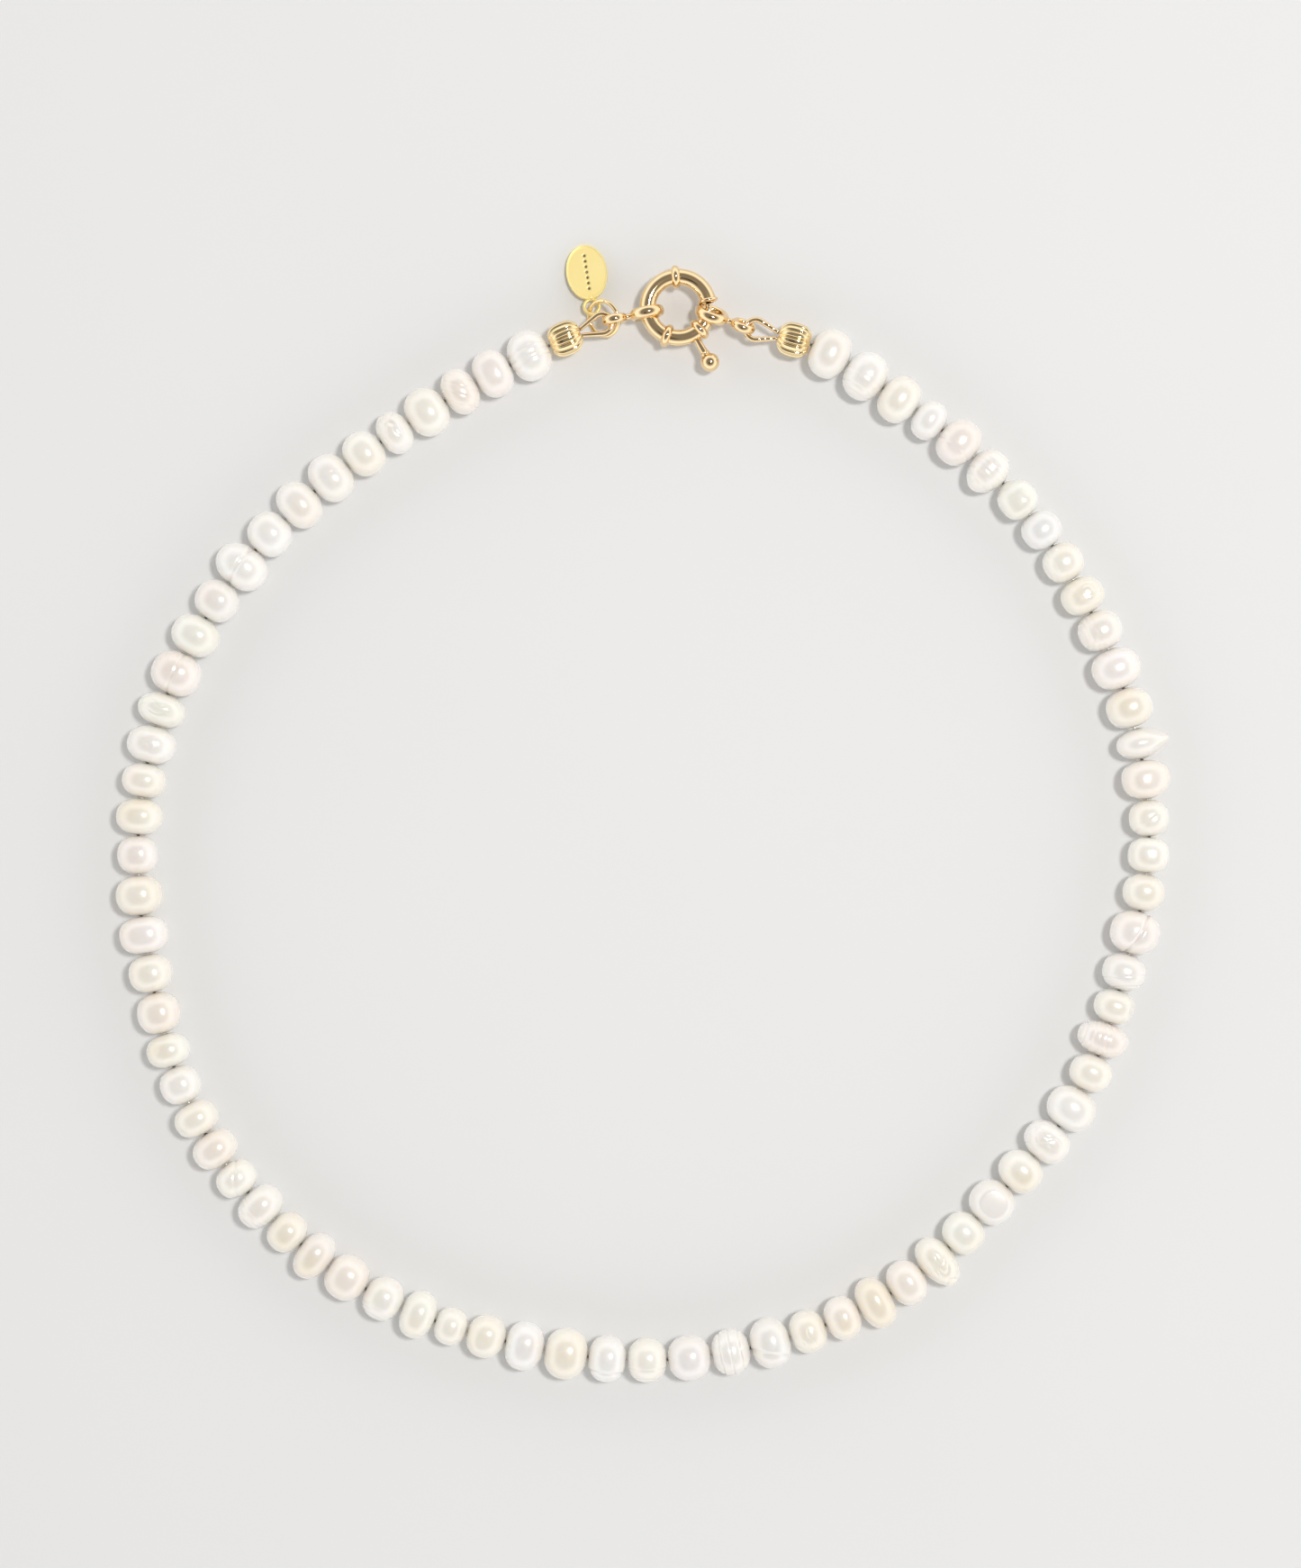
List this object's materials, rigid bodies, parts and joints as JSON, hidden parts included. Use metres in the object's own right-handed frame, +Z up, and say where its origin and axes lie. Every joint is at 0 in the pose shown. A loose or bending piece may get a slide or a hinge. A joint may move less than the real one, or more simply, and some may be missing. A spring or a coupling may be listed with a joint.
{
  "type": "pearl necklace",
  "caption": "Single-strand necklace of drilled baroque pearls on a beading wire, with ribbed gold end beads, a sprung bolt-ring clasp and an oval tag on a jump ring.",
  "frame": {"origin": "on the table under the middle of the laid-out loop", "axes": "+Z up from the table, +Y from the loop's middle towards the clasp"},
  "size_m": [0.1382, 0.1494, 0.0059],
  "materials": {
    "pearl_white": "gloss",
    "pearl_cream": "gloss",
    "pearl_rose": "gloss",
    "pearl_golden": "gloss",
    "pearl_silver": "gloss",
    "gold": "polished",
    "bead_gold": "polished",
    "satin_gold": "satin",
    "silver_crimp": "polished",
    "steel_wire": "satin"
  },
  "bodies": {
    "strand_bottom": {"pearls_37_38": "pearl_cream", "beading_wire": "steel_wire"},
    "link_39_40": {"pearls_39_40": "pearl_cream"},
    "link_41_42": {"pearls_41_42": "pearl_cream"},
    "link_43_44": {"pearls_43_44": "pearl_silver"},
    "link_45_46": {"pearls_45_46": "pearl_rose"},
    "link_47_48": {"pearls_47_48": "pearl_cream"},
    "link_49_50": {"pearls_49_50": "pearl_rose"},
    "link_51_52": {"pearls_51_52": "pearl_white"},
    "link_53_54": {"pearls_53_54": "pearl_cream"},
    "link_55_56": {"pearls_55_56": "pearl_cream"},
    "link_57_58": {"pearls_57_58": "pearl_rose"},
    "link_59_60": {"pearls_59_60": "pearl_golden"},
    "link_61_62": {"pearls_61_62": "pearl_white"},
    "link_63_64": {"pearls_63_64": "pearl_rose"},
    "link_65_66": {"pearls_65_66": "pearl_silver"},
    "link_67_68": {"pearls_67_68": "pearl_white"},
    "link_69_70": {"pearls_69_70": "pearl_white"},
    "link_71_72": {"pearls_71_72": "pearl_white"},
    "link_73_74": {"pearls_73_74": "pearl_rose"},
    "link_75": {"pearl_75": "pearl_cream"},
    "guardian_left": {"guardian_left": "gold", "crimp_left": "silver_crimp"},
    "connector_left": {"connector_left": "gold"},
    "clasp": {"clasp_ring": "gold", "clasp_end_ferrule": "gold", "clasp_collar_top": "gold", "clasp_collar_left": "gold", "clasp_collar_right": "gold", "clasp_spring": "steel_wire"},
    "bolt": {"clasp_bolt": "gold", "clasp_trigger": "gold"},
    "link_35_36": {"pearls_35_36": "pearl_rose"},
    "link_33_34": {"pearls_33_34": "pearl_silver"},
    "link_31_32": {"pearls_31_32": "pearl_golden"},
    "link_29_30": {"pearls_29_30": "pearl_golden"},
    "link_27_28": {"pearls_27_28": "pearl_silver"},
    "link_25_26": {"pearls_25_26": "pearl_cream"},
    "link_23_24": {"pearls_23_24": "pearl_white"},
    "link_21_22": {"pearls_21_22": "pearl_cream"},
    "link_19_20": {"pearls_19_20": "pearl_rose"},
    "link_17_18": {"pearls_17_18": "pearl_cream"},
    "link_15_16": {"pearls_15_16": "pearl_rose"},
    "link_13_14": {"pearls_13_14": "pearl_cream"},
    "link_11_12": {"pearls_11_12": "pearl_rose"},
    "link_09_10": {"pearls_09_10": "pearl_cream"},
    "link_07_08": {"pearls_07_08": "pearl_cream"},
    "link_05_06": {"pearls_05_06": "pearl_rose"},
    "link_03_04": {"pearls_03_04": "pearl_cream"},
    "link_01_02": {"pearls_01_02": "pearl_white"},
    "guardian_right": {"guardian_right": "gold", "crimp_right": "silver_crimp"},
    "connector_right": {"connector_right": "gold"},
    "tag_ring": {"tag_jump_ring": "gold"},
    "tag": {"tag": "satin_gold"},
    "ribbed_bead_left": {"ribbed_bead_left": "bead_gold"},
    "ribbed_bead_right": {"ribbed_bead_right": "bead_gold"}
  },
  "joints": [
    {"name": "strand_flex", "type": "hinge", "parent": "strand_bottom", "child": "link_39_40", "pos_m": [-0.00744, -0.07097, 0.00295], "axis": [0, 0, 1], "range_deg": [-5, 5], "deforming": ["beading_wire"]},
    {"name": "strand_41_flex", "type": "hinge", "parent": "link_39_40", "child": "link_41_42", "pos_m": [-0.01826, -0.06894, 0.00295], "axis": [0, 0, 1], "range_deg": [-3.79, 3.79]},
    {"name": "strand_43_flex", "type": "hinge", "parent": "link_41_42", "child": "link_43_44", "pos_m": [-0.02748, -0.06625, 0.00295], "axis": [0, 0, 1], "range_deg": [-2.97, 2.97]},
    {"name": "strand_45_flex", "type": "hinge", "parent": "link_43_44", "child": "link_45_46", "pos_m": [-0.03656, -0.06207, 0.00295], "axis": [0, 0, 1], "range_deg": [-2.03, 2.03]},
    {"name": "strand_47_flex", "type": "hinge", "parent": "link_45_46", "child": "link_47_48", "pos_m": [-0.04503, -0.05621, 0.00295], "axis": [0, 0, 1], "range_deg": [-1.75, 1.75]},
    {"name": "strand_49_flex", "type": "hinge", "parent": "link_47_48", "child": "link_49_50", "pos_m": [-0.05196, -0.04942, 0.00295], "axis": [0, 0, 1], "range_deg": [-1.51, 1.51]},
    {"name": "strand_51_flex", "type": "hinge", "parent": "link_49_50", "child": "link_51_52", "pos_m": [-0.05758, -0.04175, 0.00295], "axis": [0, 0, 1], "range_deg": [-1.57, 1.57]},
    {"name": "strand_53_flex", "type": "hinge", "parent": "link_51_52", "child": "link_53_54", "pos_m": [-0.06172, -0.03297, 0.00295], "axis": [0, 0, 1], "range_deg": [-2.78, 2.78]},
    {"name": "strand_55_flex", "type": "hinge", "parent": "link_53_54", "child": "link_55_56", "pos_m": [-0.06424, -0.02322, 0.00295], "axis": [0, 0, 1], "range_deg": [-4.07, 4.07]},
    {"name": "strand_57_flex", "type": "hinge", "parent": "link_55_56", "child": "link_57_58", "pos_m": [-0.06594, -0.01323, 0.00295], "axis": [0, 0, 1], "range_deg": [-4.99, 4.99]},
    {"name": "strand_59_flex", "type": "hinge", "parent": "link_57_58", "child": "link_59_60", "pos_m": [-0.06636, -0.00262, 0.00295], "axis": [0, 0, 1], "range_deg": [-5.33, 5.33]},
    {"name": "strand_61_flex", "type": "hinge", "parent": "link_59_60", "child": "link_61_62", "pos_m": [-0.06515, 0.00682, 0.00295], "axis": [0, 0, 1], "range_deg": [-5.01, 5.01]},
    {"name": "strand_63_flex", "type": "hinge", "parent": "link_61_62", "child": "link_63_64", "pos_m": [-0.0625, 0.01586, 0.00295], "axis": [0, 0, 1], "range_deg": [-4.17, 4.17]},
    {"name": "strand_65_flex", "type": "hinge", "parent": "link_63_64", "child": "link_65_66", "pos_m": [-0.0575, 0.02581, 0.00295], "axis": [0, 0, 1], "range_deg": [-2.76, 2.76]},
    {"name": "strand_67_flex", "type": "hinge", "parent": "link_65_66", "child": "link_67_68", "pos_m": [-0.05099, 0.03471, 0.00295], "axis": [0, 0, 1], "range_deg": [-1.51, 1.51]},
    {"name": "strand_69_flex", "type": "hinge", "parent": "link_67_68", "child": "link_69_70", "pos_m": [-0.04325, 0.04242, 0.00295], "axis": [0, 0, 1], "range_deg": [-1.66, 1.66]},
    {"name": "strand_71_flex", "type": "hinge", "parent": "link_69_70", "child": "link_71_72", "pos_m": [-0.03456, 0.04886, 0.00295], "axis": [0, 0, 1], "range_deg": [-1.85, 1.85]},
    {"name": "strand_73_flex", "type": "hinge", "parent": "link_71_72", "child": "link_73_74", "pos_m": [-0.02614, 0.05428, 0.00295], "axis": [0, 0, 1], "range_deg": [-3.1, 3.1]},
    {"name": "strand_75_flex", "type": "hinge", "parent": "link_73_74", "child": "link_75", "pos_m": [-0.01763, 0.05895, 0.00295], "axis": [0, 0, 1], "range_deg": [-4.12, 4.12]},
    {"name": "guardian_left_flex", "type": "hinge", "parent": "link_75", "child": "guardian_left", "pos_m": [-0.01243, 0.06152, 0.00295], "axis": [0, 0, 1], "range_deg": [-4.62, 4.62]},
    {"name": "connector_left_hook", "type": "hinge", "parent": "guardian_left", "child": "connector_left", "pos_m": [-0.00521, 0.06467, 0.00295], "axis": [0, 0, 1], "range_deg": [-2.18, 2.18]},
    {"name": "clasp_turn", "type": "hinge", "parent": "connector_left", "child": "clasp", "pos_m": [0.00046, 0.06581, 0.00295], "axis": [0, 0, 1], "range_deg": [-3.32, 3.32]},
    {"name": "strand_36_flex", "type": "hinge", "parent": "strand_bottom", "child": "link_35_36", "pos_m": [0.00295, -0.07131, 0.00295], "axis": [0, 0, 1], "range_deg": [-4.91, 4.91]},
    {"name": "strand_34_flex", "type": "hinge", "parent": "link_35_36", "child": "link_33_34", "pos_m": [0.01385, -0.06981, 0.00295], "axis": [0, 0, 1], "range_deg": [-4.8, 4.8]},
    {"name": "strand_32_flex", "type": "hinge", "parent": "link_33_34", "child": "link_31_32", "pos_m": [0.02371, -0.06679, 0.00295], "axis": [0, 0, 1], "range_deg": [-4.09, 4.09]},
    {"name": "strand_30_flex", "type": "hinge", "parent": "link_31_32", "child": "link_29_30", "pos_m": [0.03224, -0.06262, 0.00295], "axis": [0, 0, 1], "range_deg": [-2.95, 2.95]},
    {"name": "strand_28_flex", "type": "hinge", "parent": "link_29_30", "child": "link_27_28", "pos_m": [0.03986, -0.05662, 0.00295], "axis": [0, 0, 1], "range_deg": [-1.68, 1.68]},
    {"name": "strand_26_flex", "type": "hinge", "parent": "link_27_28", "child": "link_25_26", "pos_m": [0.04746, -0.04863, 0.00295], "axis": [0, 0, 1], "range_deg": [-1.68, 1.68]},
    {"name": "strand_24_flex", "type": "hinge", "parent": "link_25_26", "child": "link_23_24", "pos_m": [0.05427, -0.04075, 0.00295], "axis": [0, 0, 1], "range_deg": [-1.94, 1.94]},
    {"name": "strand_22_flex", "type": "hinge", "parent": "link_23_24", "child": "link_21_22", "pos_m": [0.05941, -0.03151, 0.00295], "axis": [0, 0, 1], "range_deg": [-3.14, 3.14]},
    {"name": "strand_20_flex", "type": "hinge", "parent": "link_21_22", "child": "link_19_20", "pos_m": [0.06218, -0.02293, 0.00295], "axis": [0, 0, 1], "range_deg": [-3.85, 3.85]},
    {"name": "strand_18_flex", "type": "hinge", "parent": "link_19_20", "child": "link_17_18", "pos_m": [0.06489, -0.01257, 0.00295], "axis": [0, 0, 1], "range_deg": [-4.35, 4.35]},
    {"name": "strand_16_flex", "type": "hinge", "parent": "link_17_18", "child": "link_15_16", "pos_m": [0.06611, -0.00285, 0.00295], "axis": [0, 0, 1], "range_deg": [-4.49, 4.49]},
    {"name": "strand_14_flex", "type": "hinge", "parent": "link_15_16", "child": "link_13_14", "pos_m": [0.06515, 0.0072, 0.00295], "axis": [0, 0, 1], "range_deg": [-4.38, 4.38]},
    {"name": "strand_12_flex", "type": "hinge", "parent": "link_13_14", "child": "link_11_12", "pos_m": [0.06273, 0.0166, 0.00295], "axis": [0, 0, 1], "range_deg": [-3.96, 3.96]},
    {"name": "strand_10_flex", "type": "hinge", "parent": "link_11_12", "child": "link_09_10", "pos_m": [0.05852, 0.02655, 0.00295], "axis": [0, 0, 1], "range_deg": [-3.06, 3.06]},
    {"name": "strand_08_flex", "type": "hinge", "parent": "link_09_10", "child": "link_07_08", "pos_m": [0.05342, 0.03529, 0.00295], "axis": [0, 0, 1], "range_deg": [-1.81, 1.81]},
    {"name": "strand_06_flex", "type": "hinge", "parent": "link_07_08", "child": "link_05_06", "pos_m": [0.04698, 0.04346, 0.00295], "axis": [0, 0, 1], "range_deg": [-1.67, 1.67]},
    {"name": "strand_04_flex", "type": "hinge", "parent": "link_05_06", "child": "link_03_04", "pos_m": [0.039, 0.05043, 0.00295], "axis": [0, 0, 1], "range_deg": [-1.91, 1.91]},
    {"name": "strand_02_flex", "type": "hinge", "parent": "link_03_04", "child": "link_01_02", "pos_m": [0.03121, 0.05592, 0.00295], "axis": [0, 0, 1], "range_deg": [-3.44, 3.44]},
    {"name": "guardian_right_flex", "type": "hinge", "parent": "link_01_02", "child": "guardian_right", "pos_m": [0.02172, 0.06169, 0.00295], "axis": [0, 0, 1], "range_deg": [-4.71, 4.71]},
    {"name": "connector_right_hook", "type": "hinge", "parent": "guardian_right", "child": "connector_right", "pos_m": [0.01408, 0.06364, 0.00295], "axis": [0, 0, 1], "range_deg": [-3.13, 3.13]},
    {"name": "bolt_slide_round", "type": "hinge", "parent": "clasp", "child": "bolt", "pos_m": [0.0044, 0.0665, 0.00295], "axis": [0, 0, 1], "range_deg": [-35, 0], "stiffness_Nm_per_rad": 0.002, "springref_deg": 17.19, "deforming": ["clasp_spring"]},
    {"name": "tag_ring_turn", "type": "hinge", "parent": "connector_left", "child": "tag_ring", "pos_m": [-0.0054, 0.0652, 0.0018], "axis": [-0.5557, -0.2954, 0.7771], "range_deg": [-25, 15]},
    {"name": "tag_swing", "type": "hinge", "parent": "tag_ring", "child": "tag", "pos_m": [-0.00695, 0.0668, 0.0013], "axis": [-0.4799, -0.6493, -0.59], "range_deg": [-10, 40]},
    {"name": "ribbed_bead_left_spin", "type": "hinge", "parent": "guardian_left", "child": "ribbed_bead_left", "pos_m": [-0.01042, 0.0624, 0.00295], "axis": [-0.9272, -0.3746, 0], "continuous": true},
    {"name": "ribbed_bead_right_spin", "type": "hinge", "parent": "guardian_right", "child": "ribbed_bead_right", "pos_m": [0.01958, 0.06224, 0.00295], "axis": [0.9659, -0.2588, 0], "continuous": true}
  ],
  "couplings": [
    {"joint": "strand_41_flex", "follows": "strand_flex", "ratio": 0.756},
    {"joint": "strand_43_flex", "follows": "strand_flex", "ratio": 0.593},
    {"joint": "strand_45_flex", "follows": "strand_flex", "ratio": 0.405},
    {"joint": "strand_47_flex", "follows": "strand_flex", "ratio": 0.348},
    {"joint": "strand_49_flex", "follows": "strand_flex", "ratio": -0.3},
    {"joint": "strand_51_flex", "follows": "strand_flex", "ratio": -0.312},
    {"joint": "strand_53_flex", "follows": "strand_flex", "ratio": -0.555},
    {"joint": "strand_55_flex", "follows": "strand_flex", "ratio": -0.812},
    {"joint": "strand_57_flex", "follows": "strand_flex", "ratio": -0.996},
    {"joint": "strand_59_flex", "follows": "strand_flex", "ratio": -1.064},
    {"joint": "strand_61_flex", "follows": "strand_flex", "ratio": -1.001},
    {"joint": "strand_63_flex", "follows": "strand_flex", "ratio": -0.832},
    {"joint": "strand_65_flex", "follows": "strand_flex", "ratio": -0.551},
    {"joint": "strand_67_flex", "follows": "strand_flex", "ratio": -0.3},
    {"joint": "strand_69_flex", "follows": "strand_flex", "ratio": 0.33},
    {"joint": "strand_71_flex", "follows": "strand_flex", "ratio": 0.368},
    {"joint": "strand_73_flex", "follows": "strand_flex", "ratio": 0.618},
    {"joint": "strand_75_flex", "follows": "strand_flex", "ratio": 0.822},
    {"joint": "guardian_left_flex", "follows": "strand_flex", "ratio": 0.923},
    {"joint": "connector_left_hook", "follows": "strand_flex", "ratio": 0.434},
    {"joint": "clasp_turn", "follows": "strand_flex", "ratio": 0.663},
    {"joint": "strand_36_flex", "follows": "strand_flex", "ratio": -0.981},
    {"joint": "strand_34_flex", "follows": "strand_flex", "ratio": -0.958},
    {"joint": "strand_32_flex", "follows": "strand_flex", "ratio": -0.817},
    {"joint": "strand_30_flex", "follows": "strand_flex", "ratio": -0.588},
    {"joint": "strand_28_flex", "follows": "strand_flex", "ratio": -0.335},
    {"joint": "strand_26_flex", "follows": "strand_flex", "ratio": 0.335},
    {"joint": "strand_24_flex", "follows": "strand_flex", "ratio": 0.386},
    {"joint": "strand_22_flex", "follows": "strand_flex", "ratio": 0.627},
    {"joint": "strand_20_flex", "follows": "strand_flex", "ratio": 0.768},
    {"joint": "strand_18_flex", "follows": "strand_flex", "ratio": 0.868},
    {"joint": "strand_16_flex", "follows": "strand_flex", "ratio": 0.897},
    {"joint": "strand_14_flex", "follows": "strand_flex", "ratio": 0.875},
    {"joint": "strand_12_flex", "follows": "strand_flex", "ratio": 0.79},
    {"joint": "strand_10_flex", "follows": "strand_flex", "ratio": 0.61},
    {"joint": "strand_08_flex", "follows": "strand_flex", "ratio": 0.361},
    {"joint": "strand_06_flex", "follows": "strand_flex", "ratio": 0.333},
    {"joint": "strand_04_flex", "follows": "strand_flex", "ratio": -0.38},
    {"joint": "strand_02_flex", "follows": "strand_flex", "ratio": -0.687},
    {"joint": "guardian_right_flex", "follows": "strand_flex", "ratio": -0.94},
    {"joint": "connector_right_hook", "follows": "strand_flex", "ratio": -0.625}
  ]
}
